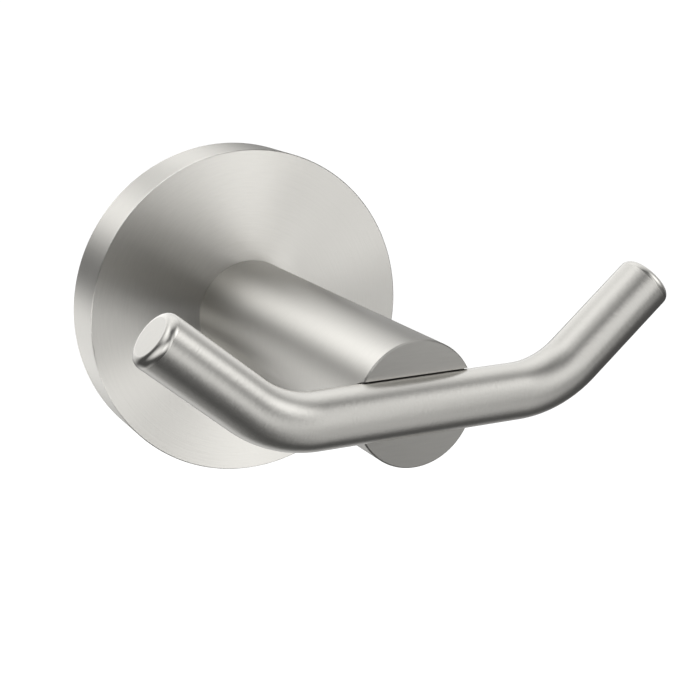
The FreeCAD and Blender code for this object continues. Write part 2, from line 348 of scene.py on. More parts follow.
def turned(name, profile, steps, closed=False):
    """A piece turned about the post's axis from pairs of radius and distance from the wall."""
    def fill(grid):
        rings = []
        for radius, distance in profile:
            if radius == 0:
                rings.append([grid.verts.new(at(0, distance, 0))] * steps)
                continue
            corners = circle_outline(radius, steps)
            rings.append([grid.verts.new(at(across, distance, up)) for across, up in corners])
        pairs = list(zip(rings, rings[1:]))
        if closed:
            pairs.append((rings[-1], rings[0]))
        for near, far in pairs:
            for step in range(steps):
                after = (step + 1) % steps
                corners = [near[step], near[after], far[after], far[step]]
                grid.faces.new(list(dict.fromkeys(corners)))

    return link_mesh(name, fill)


def prism(name, outline, place):
    """A solid with an outline of corners; place(corner, 0) and place(corner, 1) give its two ends."""
    def fill(grid):
        near = [grid.verts.new(place(corner, 0)) for corner in outline]
        far = [grid.verts.new(place(corner, 1)) for corner in outline]
        count = len(outline)
        grid.faces.new(near)
        grid.faces.new(list(reversed(far)))
        for step in range(count):
            after = (step + 1) % count
            grid.faces.new([near[step], far[step], far[after], near[after]])

    return link_mesh(name, fill)


def along_post(start, end):
    """Places an outline of across and up on the post's axis between two distances from the wall."""
    def place(corner, end_number):
        return at(corner[0], (start, end)[end_number], corner[1])

    return place


def circle_outline(radius, steps, middle=(0.0, 0.0)):
    """Corners of a circle."""
    corners = []
    for step in range(steps):
        turn = 2 * math.pi * step / steps
        corners.append((middle[0] + radius * math.sin(turn), middle[1] + radius * math.cos(turn)))
    return corners


def double_d_outline(radius, flats, steps):
    """Corners of a circle with a level flat above and below."""
    half_flats = flats / 2
    corners = []
    for across, up in circle_outline(radius, steps):
        if abs(up) < half_flats:
            corners.append((across, up))
    edge = math.sqrt(radius ** 2 - half_flats ** 2)
    corners += [(edge, half_flats), (edge, -half_flats), (-edge, -half_flats), (-edge, half_flats)]
    return sorted(corners, key=lambda corner: math.atan2(corner[0], corner[1]))


def hexagon_outline(across_flats):
    """Corners of a key socket."""
    return circle_outline(across_flats / math.sqrt(3), 6)


def carve(piece, tool, operation="DIFFERENCE"):
    """Cuts a tool out of a piece, or joins it on, and removes the tool."""
    change = piece.modifiers.new("carve", "BOOLEAN")
    change.operation = operation
    change.solver = "EXACT"
    change.object = tool
    settle(piece)
    tool_mesh = tool.data
    bpy.data.objects.remove(tool)
    bpy.data.meshes.remove(tool_mesh)


def settle(piece):
    """Makes the piece's modifiers part of its mesh."""
    depsgraph = bpy.context.evaluated_depsgraph_get()
    evaluated = piece.evaluated_get(depsgraph)
    mesh = bpy.data.meshes.new_from_object(evaluated, preserve_all_data_layers=True, depsgraph=depsgraph)
    old = piece.data
    piece.modifiers.clear()
    piece.data = mesh
    mesh.name = piece.name
    bpy.data.meshes.remove(old)


def crisp(piece, edge_degrees=35.0):
    """Keeps edges sharper than an angle crisp and lets flat faces rule the shading of the rest."""
    piece.data.set_sharp_from_angle(angle=math.radians(edge_degrees))
    weighted = piece.modifiers.new("flat faces rule", "WEIGHTED_NORMAL")
    weighted.keep_sharp = True
    weighted.weight = 100
    settle(piece)


def place_piece(piece, node, slot, *materials):
    """Gives a finished piece its materials and body, in the place of its CAD node."""
    piece.data.materials.clear()
    for material in materials:
        piece.data.materials.append(material)
    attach(piece, BODY)
    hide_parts(node)


# Node trees

class Nodes:
    """A short way to add nodes to a tree and link them."""

    def __init__(self, tree):
        self.tree = tree

    def add(self, kind, settings=(), **inputs):
        node = self.tree.nodes.new(kind)
        for name, value in dict(settings).items():
            setattr(node, name, value)
        for name, value in inputs.items():
            self.feed(node, name, value)
        return node

    def feed(self, node, name, value):
        """Sets or links one input, named with _ for a space or by its number as in i0."""
        if name[0] == "i" and name[1:].isdigit():
            socket = node.inputs[int(name[1:])]
        else:
            socket = node.inputs[name.replace("_", " ")]
        if isinstance(value, bpy.types.NodeSocket):
            self.tree.links.new(value, socket)
        else:
            socket.default_value = value

    def math(self, operation, *values):
        inputs = {f"i{number}": value for number, value in enumerate(values)}
        return self.add("ShaderNodeMath", {"operation": operation}, **inputs).outputs[0]

    def vector(self, operation, *values):
        inputs = {f"i{number}": value for number, value in enumerate(values)}
        node = self.add("ShaderNodeVectorMath", {"operation": operation}, **inputs)
        return node.outputs["Value" if operation in ("LENGTH", "DOT_PRODUCT") else "Vector"]


def new_material(name):
    """An empty node material and its Principled shader."""
    material = bpy.data.materials.new(name)
    material.use_nodes = True
    nodes = Nodes(material.node_tree)
    shader = material.node_tree.nodes["Principled BSDF"]
    return material, nodes, shader


def object_place(nodes):
    """A surface point's place in its object."""
    return nodes.add("ShaderNodeTexCoord").outputs["Object"]


def between(nodes, value, low, high):
    """Turns a noise value into one between two limits."""
    return nodes.add(
        "ShaderNodeMapRange", i0=value, i1=NOISE_LOW, i2=NOISE_HIGH, i3=low, i4=high
    ).outputs[0]


def grain(nodes, shader, tint, value, shades, roughness, roughness_spread, depth):
    """Makes a shader metal whose shade, roughness and relief follow a noise value."""
    shade = between(nodes, value, *shades)
    base = nodes.add("ShaderNodeMix", {"data_type": "RGBA", "blend_type": "MULTIPLY"}, i0=1.0)
    base.inputs[6].default_value = (*tint, 1.0)
    grey = nodes.add("ShaderNodeCombineColor", i0=shade, i1=shade, i2=shade)
    nodes.feed(base, "i7", grey.outputs[0])
    nodes.feed(shader, "Base_Color", base.outputs[2])
    rough = between(nodes, value, roughness - roughness_spread, roughness + roughness_spread)
    nodes.feed(shader, "Roughness", rough)
    relief = nodes.add("ShaderNodeBump", Strength=1.0, Distance=depth, Height=value)
    nodes.feed(shader, "Normal", relief.outputs[0])
    shader.inputs["Metallic"].default_value = 1.0


def satin(name, finish, roughness, brush_lines, depth, stretch=0.0, stretch_along=None):
    """Satin metal with fine brush lines; stretch_along is the direction in which they stretch the gloss."""
    material, nodes, shader = new_material(name)
    lines = nodes.add(
        "ShaderNodeTexNoise", {"noise_dimensions": "3D"}, Scale=1.0, Detail=2.0, Roughness=0.5
    )
    nodes.feed(lines, "Vector", brush_lines(nodes, finish))
    value = lines.outputs["Fac"]
    grain(nodes, shader, finish.satin_colour, value, SATIN_SHADES, roughness, SATIN_ROUGHNESS_SPREAD, depth)
    if stretch_along:
        shader.inputs["Anisotropic"].default_value = stretch
        nodes.feed(shader, "Tangent", stretch_along(nodes))
    return material


def round_the_post(nodes):
    """Direction round the post's axis."""
    place = object_place(nodes)
    return nodes.vector("NORMALIZE", nodes.vector("CROSS_PRODUCT", place, (0.0, 1.0, 0.0)))


def across_turning_marks(nodes):
    """Direction across turning marks: outwards on a face, along the post on a rim."""
    normal = nodes.add("ShaderNodeNewGeometry").outputs["Normal"]
    return nodes.vector("CROSS_PRODUCT", normal, round_the_post(nodes))


def turning_marks(nodes, finish):
    """Coordinates in which turning marks are fine across and long round the post's axis."""
    place = object_place(nodes)
    flat = nodes.vector("MULTIPLY", place, (1.0, 0.0, 1.0))
    radius = nodes.vector("LENGTH", flat)
    fine = 1.0 / finish.brush_pitch
    slow = 1.0 / finish.brush_length
    parts = nodes.add("ShaderNodeSeparateXYZ", i0=place)
    slow_place = nodes.math("MULTIPLY", nodes.math("ADD", parts.outputs["X"], parts.outputs["Z"]), slow)
    return nodes.add(
        "ShaderNodeCombineXYZ",
        i0=nodes.math("MULTIPLY", radius, fine),
        i1=nodes.math("MULTIPLY", parts.outputs["Y"], fine),
        i2=slow_place,
    ).outputs[0]


def straight_marks(nodes, finish):
    """Coordinates in which the marks of a flat grinder run level."""
    place = object_place(nodes)
    fine = 1.0 / finish.brush_pitch
    return nodes.vector("MULTIPLY", place, (1.0 / finish.brush_length, fine, fine))


def bar_marks(nodes, finish):
    """Coordinates in which brush lines are fine along the bar and long round it."""
    along = nodes.add("ShaderNodeAttribute", {"attribute_name": "along_bar"}).outputs["Fac"]
    place = object_place(nodes)
    slow_steps = 1.0 / finish.bar_brush_length
    slow = nodes.vector("MULTIPLY", place, (0.0, slow_steps, slow_steps))
    fine = nodes.math("MULTIPLY", along, 1.0 / finish.brush_pitch)
    return nodes.vector("ADD", slow, nodes.add("ShaderNodeCombineXYZ", i0=fine).outputs[0])


def along_the_bar(nodes):
    """Direction of the bar's centre line."""
    return nodes.add("ShaderNodeAttribute", {"attribute_name": "bar_direction"}).outputs["Vector"]


def plated(name, finish):
    """Zinc plated steel: a faint blotchy sheen."""
    material, nodes, shader = new_material(name)
    place = object_place(nodes)
    blotches = nodes.add(
        "ShaderNodeTexNoise", Vector=place, Scale=BLOTCHES_PER_METRE, Detail=4.0, Roughness=0.55
    )
    grain(
        nodes, shader, finish.plated_colour, blotches.outputs["Fac"], PLATED_SHADES,
        finish.plated_roughness, PLATED_ROUGHNESS_SPREAD, finish.fine_depth,
    )
    return material


# Geometry node trees

def geometry_tree(name, **inputs):
    """A geometry node tree with named inputs, given by their kind, and one geometry output."""
    tree = bpy.data.node_groups.new(name, "GeometryNodeTree")
    for kind, labels in inputs.items():
        for label in labels:
            tree.interface.new_socket(label, in_out="INPUT", socket_type="NodeSocket" + kind)
    tree.interface.new_socket("Geometry", in_out="OUTPUT", socket_type="NodeSocketGeometry")
    nodes = Nodes(tree)
    group_in = nodes.add("NodeGroupInput")
    group_out = nodes.add("NodeGroupOutput")
    return tree, nodes, group_in.outputs, group_out


def grown(name, tree, values):
    """A piece made by a geometry node tree from its named inputs, as a plain mesh."""
    piece = bpy.data.objects.new(name, bpy.data.meshes.new(name))
    bpy.context.scene.collection.objects.link(piece)
    modifier = piece.modifiers.new(tree.name, "NODES")
    modifier.node_group = tree
    for socket in tree.interface.items_tree:
        if socket.in_out == "INPUT":
            modifier[socket.identifier] = values[socket.name]
    settle(piece)
    return piece


def end_tree(nodes, given, result, shape):
    """Ends a tree in plain geometry with its material."""
    whole = nodes.add("GeometryNodeRealizeInstances", Geometry=shape)
    coated = nodes.add("GeometryNodeSetMaterial", Geometry=whole.outputs[0], Material=given["Material"])
    nodes.feed(result, "Geometry", coated.outputs[0])


def bent_bar_tree():
    """A round bar swept along a level run with an arm bent upwards at each end."""
    tree, nodes, given, result = geometry_tree(
        "bent bar",
        Float=(
            "Bar diameter", "Corner spacing", "Arm length", "Arm rise", "Bend radius", "Distance from wall"
        ),
        Int=("Steps in a bend", "Steps round"),
        Material=("Material",),
    )
    # Four points: left tip, left corner, right corner, right tip.
    number = nodes.add("GeometryNodeInputIndex").outputs[0]
    from_middle = nodes.math("SUBTRACT", number, 1.5)
    side = nodes.math("SIGN", from_middle)
    at_tip = nodes.math("GREATER_THAN", nodes.math("ABSOLUTE", from_middle), 1.0)
    arm = nodes.math("MULTIPLY", at_tip, given["Arm length"])
    arm_across = nodes.math("MULTIPLY", arm, nodes.math("COSINE", given["Arm rise"]))
    arm_up = nodes.math("MULTIPLY", arm, nodes.math("SINE", given["Arm rise"]))
    across = nodes.math("ADD", nodes.math("MULTIPLY", given["Corner spacing"], 0.5), arm_across)
    place = nodes.add(
        "ShaderNodeCombineXYZ",
        i0=nodes.math("MULTIPLY", across, side),
        i1=nodes.math("MULTIPLY", given["Distance from wall"], -1.0),
        i2=arm_up,
    )
    points = nodes.add("GeometryNodePoints", Count=4, Position=place.outputs[0])
    route = nodes.add("GeometryNodePointsToCurves", Points=points.outputs[0])
    bent = nodes.add(
        "GeometryNodeFilletCurve",
        {"mode": "POLY"},
        Curve=route.outputs[0],
        Count=given["Steps in a bend"],
        Radius=given["Bend radius"],
    )
    section = nodes.add("GeometryNodeCurvePrimitiveCircle", Resolution=given["Steps round"])
    nodes.feed(section, "Radius", nodes.math("MULTIPLY", given["Bar diameter"], 0.5))
    level = nodes.add("GeometryNodeSetCurveNormal", Curve=bent.outputs[0])
    swept = nodes.add(
        "GeometryNodeCurveToMesh", Curve=level.outputs[0], Profile_Curve=section.outputs[0], Fill_Caps=True
    )
    end_tree(nodes, given, result, swept.outputs[0])
    return tree


def threaded_rod_tree():
    """A rod along Z from zero, plain at first and then threaded, with both ends drawn in."""
    tree, nodes, given, result = geometry_tree(
        "threaded rod",
        Float=(
            "Radius", "Plain length", "Thread length", "Pitch", "Thread depth",
            "Start radius", "Point radius", "Point slope",
        ),
        Int=("Steps along", "Steps round"),
        Vector=("Start",),
        Rotation=("Turn",),
        Material=("Material",),
    )
    rod = nodes.add(
        "GeometryNodeMeshCylinder",
        Vertices=given["Steps round"],
        Side_Segments=given["Steps along"],
        Radius=1.0,
        Depth=1.0,
    )
    place = nodes.add("ShaderNodeSeparateXYZ", i0=nodes.add("GeometryNodeInputPosition").outputs[0])
    # The first ring starts the plain part, the second ends it and the rest share out the thread.
    ring = nodes.math("MULTIPLY", nodes.math("ADD", place.outputs["Z"], 0.5), given["Steps along"])
    thread_steps = nodes.math("SUBTRACT", given["Steps along"], 1.0)
    share_of_thread = nodes.math("DIVIDE", nodes.math("SUBTRACT", ring, 1.0), thread_steps)
    in_thread = nodes.math("MULTIPLY", nodes.math("MAXIMUM", share_of_thread, 0.0), given["Thread length"])
    past_start = nodes.math("GREATER_THAN", ring, 0.5)
    along = nodes.math("ADD", nodes.math("MULTIPLY", past_start, given["Plain length"]), in_thread)
    turn = nodes.math("ARCTAN2", place.outputs["Y"], place.outputs["X"])
    winding = nodes.math("DIVIDE", turn, 2.0 * math.pi)
    phase = nodes.math("FRACT", nodes.math("ADD", nodes.math("DIVIDE", in_thread, given["Pitch"]), winding))
    valley = nodes.math("MULTIPLY", nodes.math("ABSOLUTE", nodes.math("SUBTRACT", phase, 0.5)), 2.0)
    valley = nodes.add("ShaderNodeMapRange", i0=valley, i1=THREAD_CREST, i2=THREAD_ROOT).outputs[0]
    run_out_length = nodes.math("MULTIPLY", given["Pitch"], RUN_OUT_TURNS)
    run_out = nodes.add("ShaderNodeMapRange", i0=in_thread, i1=0.0, i2=run_out_length).outputs[0]
    cut = nodes.math("MULTIPLY", nodes.math("MULTIPLY", valley, run_out), given["Thread depth"])
    threaded = nodes.math("SUBTRACT", given["Radius"], cut)
    left = nodes.math("SUBTRACT", given["Thread length"], in_thread)
    at_point = nodes.math("MULTIPLY_ADD", left, given["Point slope"], given["Point radius"])
    at_start = nodes.math("ADD", along, given["Start radius"])
    radius = nodes.math("MINIMUM", nodes.math("MINIMUM", threaded, at_point), at_start)
    spread = nodes.add(
        "ShaderNodeCombineXYZ",
        i0=nodes.math("MULTIPLY", place.outputs["X"], radius),
        i1=nodes.math("MULTIPLY", place.outputs["Y"], radius),
        i2=along,
    )
    shaped = nodes.add("GeometryNodeSetPosition", Geometry=rod.outputs[0], Position=spread.outputs[0])
    moved = nodes.add(
        "GeometryNodeTransform",
        Geometry=shaped.outputs[0],
        Translation=given["Start"],
        Rotation=given["Turn"],
    )
    end_tree(nodes, given, result, moved.outputs[0])
    return tree


# Operators, one for each piece or group of like pieces

class ROBEHOOK_OT_wall_flange(bpy.types.Operator):
    """Makes the turned wall flange with its keyed hole and the tapped hole below"""

    bl_idname = "robe_hook.wall_flange"
    bl_label = "Wall flange"

    def execute(self, context):
        sizes = context.scene.robe_hook_sizes
        finish = context.scene.robe_hook_finish
        radius = sizes.flange_diameter / 2
        depth = sizes.flange_depth
        inner_radius = radius - sizes.flange_wall
        inner_face = depth - sizes.flange_face
        front = sizes.flange_front_round
        back = sizes.flange_back_round
        corner = sizes.flange_corner_round
        profile = [(0, depth)]
        profile += arc((radius - front, depth - front), front, 90, 0)
        profile += arc((radius - back, back), back, 0, -90)
        profile += [(inner_radius, 0)]
        profile += arc((inner_radius - corner, inner_face - corner), corner, 0, 90)
        profile += [(0, inner_face)]
        flange = turned("turned_flange", profile, sizes.steps_round)
        room = sizes.spigot_clearance
        keyed = double_d_outline(
            sizes.spigot_diameter / 2 + room, sizes.spigot_flats + 2 * room, SPIGOT_STEPS
        )
        carve(flange, prism("keyed hole", keyed, along_post(inner_face - MM, depth + MM)))
        groove = node_middle("set_screw")

        def below(corner_point, end_number):
            return at(corner_point[0], groove + corner_point[1], (-radius - MM, -radius / 2)[end_number])

        carve(flange, prism("tapped hole", circle_outline(sizes.set_screw_hole / 2, HOLE_STEPS), below))
        crisp(flange)
        metal = satin(
            "turned satin", finish, finish.flange_roughness, turning_marks, finish.turning_depth,
            finish.flange_stretch, across_turning_marks,
        )
        place_piece(flange, "wall_flange", SATIN_SLOT, metal)
        return {"FINISHED"}


class ROBEHOOK_OT_post(bpy.types.Operator):
    """Makes the post with its keyed spigot, its bore and the saddle for the bar"""

    bl_idname = "robe_hook.post"
    bl_label = "Post"

    def execute(self, context):
        sizes = context.scene.robe_hook_sizes
        finish = context.scene.robe_hook_finish
        radius = sizes.post_diameter / 2
        start = sizes.flange_depth
        end = sizes.post_end
        cut = sizes.post_edge_break
        spigot_end = node_span("post")[0]
        post = turned("turned_post", [
            (0, start),
            (radius - cut, start),
            (radius, start + cut),
            (radius, end - cut),
            (radius - cut, end),
            (0, end),
        ], sizes.steps_round)
        keyed = double_d_outline(sizes.spigot_diameter / 2, sizes.spigot_flats, SPIGOT_STEPS)
        carve(post, prism("spigot", keyed, along_post(spigot_end, start + MM)), "UNION")
        bore = circle_outline(sizes.bolt_hole_diameter / 2, HOLE_STEPS)
        carve(post, prism("bore", bore, along_post(spigot_end - MM, end + MM)))
        saddle_radius = sizes.bar_diameter / 2 + sizes.saddle_clearance
        bar_back = node_span("hook_bar")[0]
        middle = bar_back + saddle_radius

        def across(corner_point, end_number):
            return at((-2 * radius, 2 * radius)[end_number], middle + corner_point[0], corner_point[1])

        carve(post, prism("saddle", circle_outline(saddle_radius, SADDLE_STEPS), across))
        crisp(post)
        metal = satin(
            "brushed satin", finish, finish.post_roughness, turning_marks, finish.turning_depth,
            finish.post_stretch, across_turning_marks,
        )
        cut_end = satin("flat cut end", finish, finish.end_roughness, straight_marks, finish.fine_depth)
        place_piece(post, "post", SATIN_SLOT, metal, cut_end)
        for face in post.data.polygons:
            at_end = -face.center.y > end - 0.5 * cut and face.normal.y < -FACES_FRONT
            face.material_index = 1 if at_end else 0
        return {"FINISHED"}


class ROBEHOOK_OT_hook_bar(bpy.types.Operator):
    """Makes the bent hook bar with its rounded tips and tapped hole"""

    bl_idname = "robe_hook.hook_bar"
    bl_label = "Hook bar"

    def execute(self, context):
        sizes = context.scene.robe_hook_sizes
        finish = context.scene.robe_hook_finish
        metal = satin(
            "brushed bar", finish, finish.bar_roughness, bar_marks, finish.bar_brush_depth,
            finish.bar_stretch, along_the_bar,
        )
        cut_end = satin("cut end", finish, finish.end_roughness, bar_marks, finish.fine_depth)
        polished = satin("polished tip", finish, finish.tip_roughness, bar_marks, finish.fine_depth)
        back = node_span("hook_bar")[0]
        bar = grown("bent_bar", bent_bar_tree(), {
            "Bar diameter": sizes.bar_diameter,
            "Corner spacing": sizes.bar_corner_spacing,
            "Arm length": sizes.bar_arm_length,
            "Arm rise": sizes.bar_arm_rise,
            "Bend radius": sizes.bar_bend_radius,
            "Distance from wall": node_middle("hook_bar"),
            "Steps in a bend": BEND_STEPS,
            "Steps round": BAR_STEPS,
            "Material": metal,
        })
        tips = bar.modifiers.new("tips", "BEVEL")
        tips.width = sizes.bar_tip_round
        tips.segments = TIP_STEPS
        tips.limit_method = "ANGLE"
        tips.angle_limit = math.radians(TIP_EDGE_DEGREES)
        settle(bar)
        hole = circle_outline(sizes.tapped_hole_diameter / 2, HOLE_STEPS)
        carve(bar, prism("tapped hole", hole, along_post(back - MM, sizes.tapped_hole_end)))
        for face in bar.data.polygons:
            face.use_smooth = True
        crisp(bar)
        self.mark_direction(bar, sizes)
        place_piece(bar, "hook_bar", SATIN_SLOT, metal, cut_end, polished)
        self.mark_tips(bar, sizes)
        return {"FINISHED"}

    def mark_direction(self, bar, sizes):
        """Stores the bar's direction and the length along it at each point."""
        rise = sizes.bar_arm_rise
        bend = sizes.bar_bend_radius
        level_half = sizes.bar_corner_spacing / 2 - bend * math.tan(rise / 2)
        arm_start = Vector((level_half + bend * math.sin(rise), bend * (1 - math.cos(rise))))
        arm_direction = Vector((math.cos(rise), math.sin(rise)))
        directions = []
        lengths = []
        for vertex in bar.data.vertices:
            across = abs(vertex.co.x)
            side = 1.0 if vertex.co.x >= 0 else -1.0
            turn = math.atan2(across - level_half, bend - vertex.co.z)
            turn = min(max(turn, 0.0), rise)
            along = min(across, level_half) + bend * turn
            if turn == rise:
                along += max((Vector((across, vertex.co.z)) - arm_start).dot(arm_direction), 0.0)
            directions += (math.cos(turn), 0.0, side * math.sin(turn))
            lengths.append(side * along)
        stored = bar.data.attributes.new("bar_direction", "FLOAT_VECTOR", "POINT")
        stored.data.foreach_set("vector", directions)
        stored = bar.data.attributes.new("along_bar", "FLOAT", "POINT")
        stored.data.foreach_set("value", lengths)

    def mark_tips(self, bar, sizes):
        """Gives the flat tips the finish of a cut end, and their rounds a polished one."""
        along_arm = Vector((math.cos(sizes.bar_arm_rise), math.sin(sizes.bar_arm_rise)))
        corner = Vector((sizes.bar_corner_spacing / 2, 0.0))
        round_start = sizes.bar_arm_length - sizes.bar_tip_round
        for face in bar.data.polygons:
            from_corner = Vector((abs(face.center.x), face.center.z)) - corner
            outwards = Vector((math.copysign(face.normal.x, face.normal.x * face.center.x), face.normal.z))
            if outwards.dot(along_arm) > FACES_ALONG_ARM:
                face.material_index = 1
            elif from_corner.dot(along_arm) > round_start:
                face.material_index = 2


class ROBEHOOK_OT_screws(bpy.types.Operator):
    """Makes the draw bolt and the set screw with their threads and key sockets"""

    bl_idname = "robe_hook.screws"
    bl_label = "Screws"

    def execute(self, context):
        sizes = context.scene.robe_hook_sizes
        metal = plated("plated screws", context.scene.robe_hook_finish)
        thread = threaded_rod_tree()
        self.draw_bolt(sizes, metal, thread)
        self.set_screw(sizes, metal, thread)
        return {"FINISHED"}

    def draw_bolt(self, sizes, metal, thread):
        head_start, tip = node_span("draw_bolt")
        head_end = head_start + sizes.bolt_head_height
        head_radius = node_size("draw_bolt").x / 2
        shank_radius = sizes.bolt_diameter / 2
        edge = sizes.bolt_head_round
        profile = [(0, head_start)]
        profile += arc((head_radius - edge, head_start + edge), edge, -90, 0)
        profile += [(head_radius, head_end), (0, head_end)]
        bolt = turned("draw_bolt_m4", profile, BOLT_HEAD_STEPS)
        shank_start = head_end - SHANK_OVERLAP
        shank = grown("shank", thread, {
            "Radius": shank_radius,
            "Plain length": tip - shank_start - sizes.bolt_thread_length,
            "Thread length": sizes.bolt_thread_length,
            "Pitch": sizes.thread_pitch,
            "Thread depth": sizes.thread_depth,
            "Start radius": shank_radius,
            "Point radius": shank_radius - sizes.bolt_point_break,
            "Point slope": 1.0,
            "Steps along": BOLT_SHANK_STEPS[1],
            "Steps round": BOLT_SHANK_STEPS[0],
            "Start": at(0, shank_start, 0),
            "Turn": TURN_OUT_OF_WALL,
            "Material": metal,
        })
        carve(bolt, shank, "UNION")
        socket = along_post(head_start - MM, head_start + sizes.bolt_socket_depth)
        carve(bolt, prism("socket", hexagon_outline(sizes.bolt_socket), socket))
        crisp(bolt)
        place_piece(bolt, "draw_bolt", PLATED_SLOT, metal)

    def set_screw(self, sizes, metal, thread):
        low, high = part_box("set_screw")
        radius = (high.x - low.x) / 2
        distance = node_middle("set_screw")
        screw = grown("set_screw_m4", thread, {
            "Radius": radius,
            "Plain length": SET_SCREW_PLAIN_LENGTH,
            "Thread length": high.z - low.z - SET_SCREW_PLAIN_LENGTH,
            "Pitch": sizes.thread_pitch,
            "Thread depth": sizes.thread_depth,
            "Start radius": radius - sizes.set_screw_edge_break,
            "Point radius": SET_SCREW_POINT_RADIUS,
            "Point slope": radius / sizes.set_screw_point_length,
            "Steps along": SET_SCREW_STEPS[1],
            "Steps round": SET_SCREW_STEPS[0],
            "Start": at(0, distance, low.z),
            "Turn": (0.0, 0.0, 0.0),
            "Material": metal,
        })

        def below(corner_point, end_number):
            depth = (-MM, sizes.set_screw_socket_depth)[end_number]
            return at(corner_point[0], distance + corner_point[1], low.z + depth)

        carve(screw, prism("socket", hexagon_outline(sizes.set_screw_socket), below))
        crisp(screw)
        place_piece(screw, "set_screw", PLATED_SLOT, metal)


class ROBEHOOK_OT_washers(bpy.types.Operator):
    """Makes the flat washer and the split lock washer"""

    bl_idname = "robe_hook.washers"
    bl_label = "Washers"

    def execute(self, context):
        sizes = context.scene.robe_hook_sizes
        metal = plated("plated washers", context.scene.robe_hook_finish)
        flat = self.ring("flat_washer_m4", "flat_washer", sizes)
        crisp(flat)
        place_piece(flat, "flat_washer", PLATED_SLOT, metal)
        lock = self.ring("lock_washer_m4", "spring_washer", sizes)
        start, end = node_span("spring_washer")
        reach = node_size("spring_washer").z
        half_gap = sizes.washer_split / 2
        lean = math.tan(sizes.washer_split_slant) * (end - start + 2 * MM) / 2

        def slanted(corner_point, end_number):
            distance = (start - MM, end + MM)[end_number]
            return at(corner_point[0] + (-lean, lean)[end_number], distance, corner_point[1])

        gap = [(-half_gap, 0.0), (half_gap, 0.0), (half_gap, reach), (-half_gap, reach)]
        carve(lock, prism("gap", gap, slanted))
        crisp(lock)
        place_piece(lock, "spring_washer", PLATED_SLOT, metal)
        return {"FINISHED"}

    def ring(self, name, node, sizes):
        """A flat ring with its edges broken."""
        start, end = node_span(node)
        outer = node_size(node).x / 2
        inner = sizes.washer_hole_diameter / 2
        edge = sizes.washer_edge_break
        profile = [
            (inner, start + edge),
            (inner + edge, start),
            (outer - edge, start),
            (outer, start + edge),
            (outer, end - edge),
            (outer - edge, end),
            (inner + edge, end),
            (inner, end - edge),
        ]
        return turned(name, profile, WASHER_STEPS, closed=True)


class ROBEHOOK_OT_wall_bracket(bpy.types.Operator):
    """Makes the turned wall bracket with its groove and screw holes"""

    bl_idname = "robe_hook.wall_bracket"
    bl_label = "Wall bracket"

    def execute(self, context):
        sizes = context.scene.robe_hook_sizes
        finish = context.scene.robe_hook_finish
        back, front = node_span("wall_bracket")
        radius = node_size("wall_bracket").z / 2
        inner = radius - sizes.bracket_rim
        hole = sizes.bracket_hole_diameter / 2
        web = sizes.bracket_web
        edge = sizes.bracket_edge_break
        groove = node_middle("set_screw")
        half_groove = sizes.groove_width / 2
        bracket = turned("turned_bracket", [
            (hole, back),
            (radius - edge, back),
            (radius, back + edge),
            (radius, groove - half_groove),
            (radius - sizes.groove_depth, groove),
            (radius, groove + half_groove),
            (radius, front - edge),
            (radius - edge, front),
            (inner, front),
            (inner, web),
            (hole, web),
        ], sizes.steps_round, closed=True)
        for side in (1, -1):
            middle = (0.0, side * sizes.wall_screw_spacing / 2)
            outline = circle_outline(sizes.wall_screw_hole / 2, HOLE_STEPS, middle)
            carve(bracket, prism("screw hole", outline, along_post(back - MM, web + MM)))
        crisp(bracket)
        metal = plated("plated bracket", finish)
        place_piece(bracket, "wall_bracket", PLATED_SLOT, metal)
        return {"FINISHED"}


